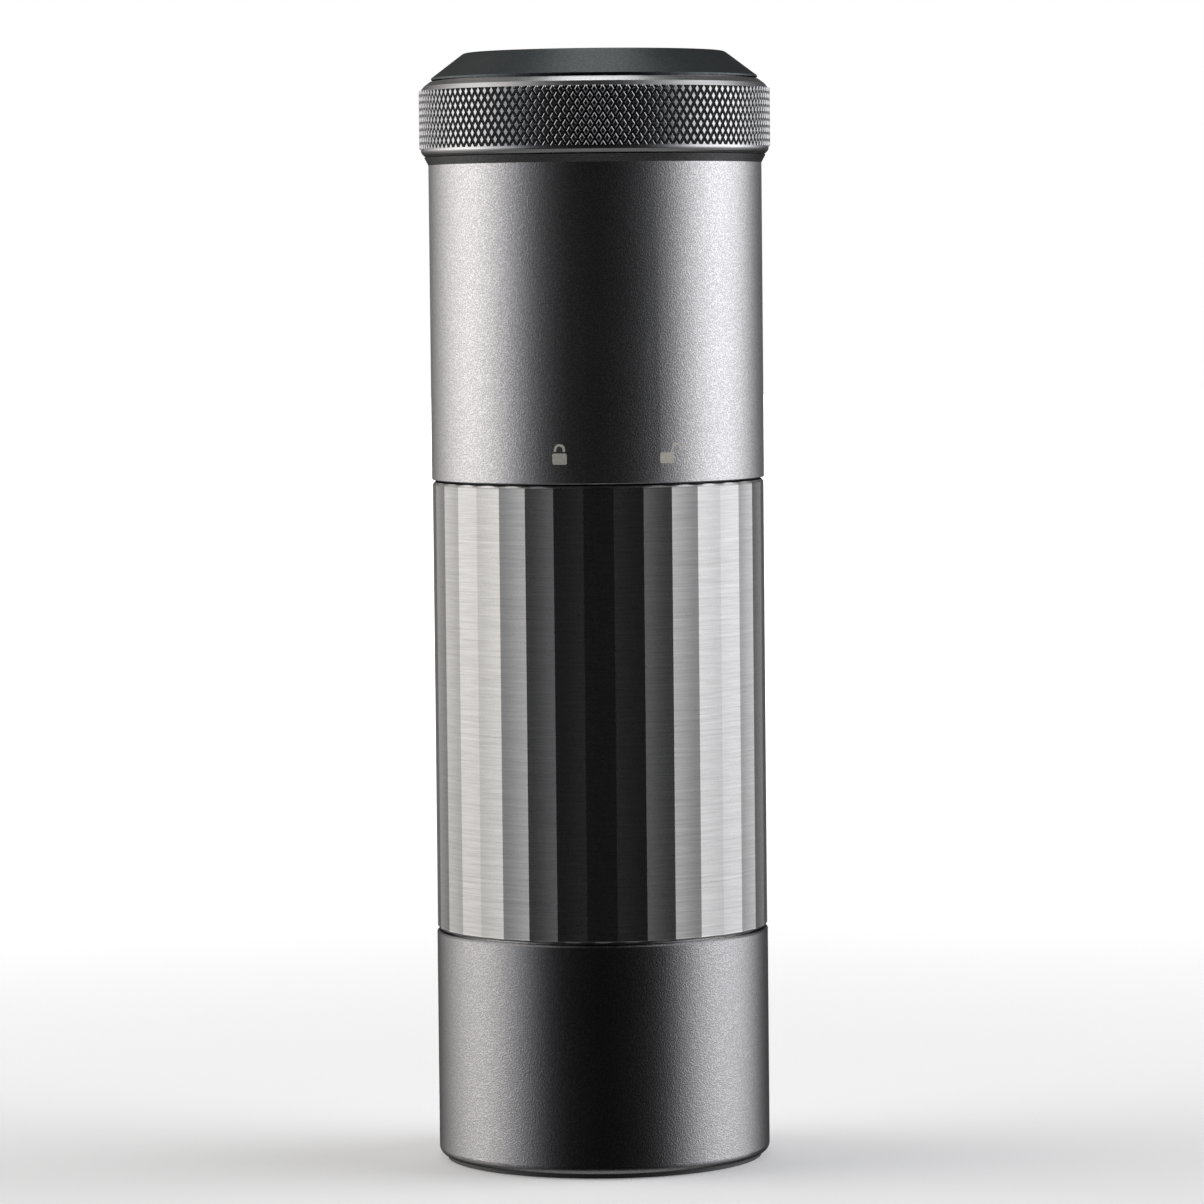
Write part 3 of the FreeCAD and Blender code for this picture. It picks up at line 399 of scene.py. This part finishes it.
def make_materials():
    """One material for each slot of the record, and more for the pieces whose finish differs."""
    dark, cap = (0.30, 0.295, 0.30), (0.042, 0.049, 0.051)
    ring, knurl, grip = (0.33, 0.33, 0.335), (0.275, 0.275, 0.28), (0.265, 0.262, 0.26)
    grain, pit = 0.27 * MM, 0.024 * MM
    rim = ring_low.z - RIM_GAP - RIM_HEIGHT
    return {
        "graphite_anodised": blasted_metal("blasted_graphite", dark, 0.34, grain, pit),
        # The tube's copy carries painted shade over the flare under the ring.
        "tube_anodised": blasted_metal("blasted_tube", shaded(dark, 0.95), 0.34, grain, pit, rim),
        "ring_anodised": turned_metal("turned_graphite", ring, 0.3, 0.12 * MM, 0.002 * MM),
        "knurl_anodised": turned_metal("knurled_graphite", knurl, 0.24, 0.12 * MM, 0.002 * MM),
        "cup_anodised": blasted_metal("blasted_cup", shaded(dark, 0.7), 0.29, grain, pit),
        "cap_anodised": blasted_metal("blasted_cap", cap, 0.4, 0.3 * MM, 0.015 * MM),
        "fluted_anodised": turned_metal("turned_grip", grip, 0.3, 0.16 * MM, 0.004 * MM, 0.3),
        "lock_mark_ink": moulded_polymer("laser_mark", (0.29, 0.28, 0.245), 0.6, 0.1 * MM),
        "black_silicone": moulded_polymer("black_silicone", (0.016, 0.016, 0.018), 0.62),
        "seal_rubber": moulded_polymer("seal_rubber", (0.02, 0.02, 0.02), 0.35),
        "black_polymer": moulded_polymer("black_polymer", (0.028, 0.028, 0.03), 0.45),
        "clear_polymer": clear_polymer("smoke_polymer"),
        "light_diffuser": moulded_polymer("light_diffuser", (0.68, 0.7, 0.71), 0.35),
        "bright_aluminium": turned_metal("bright_aluminium", (0.72, 0.72, 0.73), 0.3, 0.2 * MM, 0.006 * MM),
        "burr_steel": turned_metal("burr_steel", (0.5, 0.5, 0.5), 0.25, 0.1 * MM, 0.003 * MM),
        "bright_steel": turned_metal("bright_steel", (0.62, 0.62, 0.63), 0.2, 0.1 * MM, 0.002 * MM),
        "gear_steel": turned_metal("gear_steel", (0.38, 0.37, 0.36), 0.35, 0.3 * MM, 0.003 * MM),
        "magnet_plating": turned_metal("magnet_plating", (0.75, 0.75, 0.74), 0.15, 0.3 * MM, 0.001 * MM),
        "ferrite": moulded_polymer("ferrite", (0.05, 0.05, 0.055), 0.55),
        "motor_steel": turned_metal("motor_steel", (0.5, 0.5, 0.51), 0.3, 0.4 * MM, 0.003 * MM),
        "cast_zinc": turned_metal("cast_zinc", (0.42, 0.42, 0.43), 0.45, 1.0 * MM, 0.01 * MM),
        "copper_core": wound_core("wound_core"),
        "cell_wrap": moulded_polymer("cell_wrap", (0.04, 0.14, 0.33), 0.28, 0.6 * MM),
        "green_laminate": laminate("green_laminate"),
        "socket_laminate": laminate("socket_laminate", charge_low.y + CARD_THICKNESS),
        "wire_jacket": moulded_polymer("wire_jacket", (0.35, 0.03, 0.02), 0.5),
    }


def finish_cad_nodes(materials):
    """Give every CAD node the material of its slot in the record, or a finish of its own."""
    slots = {part["node"]: part["material_slot"] for part in frame["record"]["subparts"]}
    own = {
        "top_cap": "cap_anodised",
        "cup_shell": "cup_anodised",
        "upper_tube": "tube_anodised",
        "charge_board": "socket_laminate",
    }
    for name, node in frame["nodes"].items():
        node.data.materials.clear()
        node.data.materials.append(materials[own.get(name, slots[name])])


# ---------------------------------------------------------------- meshes


def new_piece(name, points, faces, material, smooth=True):
    """Mesh object of one material, linked into the scene."""
    mesh = bpy.data.meshes.new(name)
    mesh.from_pydata(points, [], faces)
    mesh.polygons.foreach_set("use_smooth", [smooth] * len(mesh.polygons))
    mesh.update()
    mesh.materials.append(material)
    piece = bpy.data.objects.new(name, mesh)
    bpy.context.scene.collection.objects.link(piece)
    return piece


def at(radius, angle, height):
    """Point at a radius and an angle round the object's axis."""
    return (radius * math.cos(angle), radius * math.sin(angle), height)


def flute_radius(offset, ridge, hollow, depth):
    """Radius of the sleeve's surface at an angle from the middle of a flute."""
    centre = ridge - depth + hollow
    surface = centre * math.cos(offset) - math.sqrt(hollow ** 2 - (centre * math.sin(offset)) ** 2)
    return min(surface, ridge)


def stacked_rings(levels, count):
    """Faces between neighbouring rings of points, the last ring joined back to the first."""
    faces = []
    for level in range(levels):
        lower, upper = level * count, (level + 1) % levels * count
        for step in range(count):
            after = (step + 1) % count
            faces.append((lower + step, lower + after, upper + after, upper + step))
    return faces


def build_fluted_grip(material):
    """The sleeve with its flutes, and the tool's turning lines cut across them."""
    flutes, steps = 35, 6
    ridge, hollow, depth = grip_high.y, 47 * MM, 0.21 * MM
    pitch, groove = 0.49 * MM, 0.034 * MM
    chamfer = 0.4 * MM
    bottom, top = grip_low.z, grip_high.z
    collar_radius, bore = collar_high.x, 29.0 * MM
    turned = top - bottom - 2 * chamfer
    angles = []
    for flute in range(flutes):
        middle = -math.pi / 2 + 2 * math.pi * flute / flutes
        half = math.pi / flutes
        angles += [(middle, -half + 2 * half * step / steps) for step in range(steps)]
    radii = [flute_radius(offset, ridge, hollow, depth) for middle, offset in angles]

    chance = random.Random(7)
    lines = int(turned / pitch)
    heights = []
    for line in range(lines + 1):
        height = bottom + chamfer + line * turned / lines
        heights.append((height, 0.0))
        if line < lines:
            heights.append((height + pitch / 2, groove * chance.uniform(0.8, 1.2)))

    narrowed = [min(radius, ridge - chamfer) for radius in radii]
    rows = [(bottom, narrowed)]
    rows += [(height, [radius - sink for radius in radii]) for height, sink in heights]
    rows.append((top, narrowed))
    inside = [(top, collar_radius), (collar_low.z, collar_radius), (collar_low.z, bore), (bottom, bore)]
    rows += [(height, [radius] * len(angles)) for height, radius in inside]
    points = []
    for height, reach in rows:
        points += [
            at(radius, middle + offset, height) for (middle, offset), radius in zip(angles, reach)
        ]
    count = len(angles)
    outside = (len(rows) - len(inside)) * count

    def between_flutes(low, high):
        return high < outside and low % count == high % count and low % steps == 0

    piece = new_piece("fluted_grip", points, stacked_rings(len(rows), count), material)
    mark_sharp(piece, math.radians(20), between_flutes)
    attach(piece, "grip")
    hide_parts("grip_sleeve")


def mark_sharp(piece, limit, always=lambda low, high: False):
    """Keep crisp every edge that turns over the limit, and every pair of points picked by always."""
    work = bmesh.new()
    work.from_mesh(piece.data)
    for edge in work.edges:
        low, high = sorted(vertex.index for vertex in edge.verts)
        turned_away = edge.is_manifold and edge.calc_face_angle() > limit
        edge.smooth = not (always(low, high) or turned_away)
    work.to_mesh(piece.data)
    work.free()


def build_knurled_ring(materials):
    """Turned ring with a band of raised diamonds between two bright chamfers."""
    crest, land, inner = ring_high.x, 33.4 * MM, 29.66 * MM
    root = crest - 0.38 * MM
    foot = ring_low.z - 0.2 * MM
    low, high = ring_low.z + 1.3 * MM, ring_high.z - 1.8 * MM
    profile = [
        (inner, foot), (32.6 * MM, foot), (33.1 * MM, ring_low.z + 0.25 * MM),
        (33.32 * MM, ring_low.z + 0.6 * MM), (land, ring_low.z + 0.85 * MM), (land, low),
        (RING_CORE, low), (RING_CORE, high), (land, high),
        (32.7 * MM, high + 0.9 * MM), (31.5 * MM, ring_high.z), (inner, ring_high.z),
    ]
    ring = lathe("speed_ring_core", profile, 256, materials["ring_anodised"])
    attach(ring, "speed_ring")
    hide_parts("speed_dial")
    band = knurl_band("knurl", root, crest, low, high, materials["knurl_anodised"])
    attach(band, "speed_ring")


def lathe(name, profile, segments, material):
    """Closed turned solid from (radius, height) pairs, with its corners kept crisp."""
    points = []
    for radius, height in profile:
        points += [at(radius, 2 * math.pi * step / segments, height) for step in range(segments)]
    piece = new_piece(name, points, stacked_rings(len(profile), segments), material)
    mark_sharp(piece, math.radians(12))
    return piece


def knurl_band(name, root, crest, low, high, material):
    """Diamonds with flat tops between crossing grooves, cut off square at both ends.

    The flat top and the shoulder round it take up these shares of a diamond's half width.
    """
    columns = 134
    half_width = math.pi / columns
    half_height = 1.3 * MM
    flat, brink = 0.5, 0.66
    shoulder = crest - 0.07 * MM
    rows = int((high - low) / half_height) + 3
    start = low - half_height
    points, faces, known = [], [], {}

    def corner(column, row, share_x=0, share_z=0, radius=root):
        """Point of the lattice; the shares move it towards a neighbour."""
        key = (column % (2 * columns), row, share_x, share_z, radius)
        if key not in known:
            known[key] = len(points)
            angle = (column + share_x) * half_width
            points.append(at(radius, angle, start + (row + share_z) * half_height))
        return known[key]

    for row in range(rows):
        for column in range(row % 2, 2 * columns, 2):
            ends = [(1, 0), (0, 1), (-1, 0), (0, -1)]
            base = [corner(column + x, row + z) for x, z in ends]
            edge = [corner(column, row, x * brink, z * brink, shoulder) for x, z in ends]
            top = [corner(column, row, x * flat, z * flat, crest) for x, z in ends]
            faces.append(tuple(top))
            for side in range(4):
                after = (side + 1) % 4
                faces.append((base[side], base[after], edge[after], edge[side]))
                faces.append((edge[side], edge[after], top[after], top[side]))
    piece = new_piece(name, points, faces, material, smooth=False)
    work = bmesh.new()
    work.from_mesh(piece.data)
    for height, direction in ((low, -1), (high, 1)):
        geometry = work.verts[:] + work.edges[:] + work.faces[:]
        bmesh.ops.bisect_plane(
            work, geom=geometry, plane_co=(0, 0, height), plane_no=(0, 0, direction),
            clear_outer=True,
        )
    rims = [edge for edge in work.edges if edge.is_boundary]
    extruded = bmesh.ops.extrude_edge_only(work, edges=rims)
    for vertex in (item for item in extruded["geom"] if isinstance(item, bmesh.types.BMVert)):
        angle = math.atan2(vertex.co.y, vertex.co.x)
        vertex.co = Vector(at(RING_CORE, angle, vertex.co.z))
    bmesh.ops.recalc_face_normals(work, faces=work.faces[:])
    work.to_mesh(piece.data)
    work.free()
    return piece


materials = make_materials()
add_camera()
add_world()
add_overhead_light()
add_floor()
finish_cad_nodes(materials)
build_fluted_grip(materials["fluted_anodised"])
build_knurled_ring(materials)
bpy.context.scene.view_settings.view_transform = "Standard"
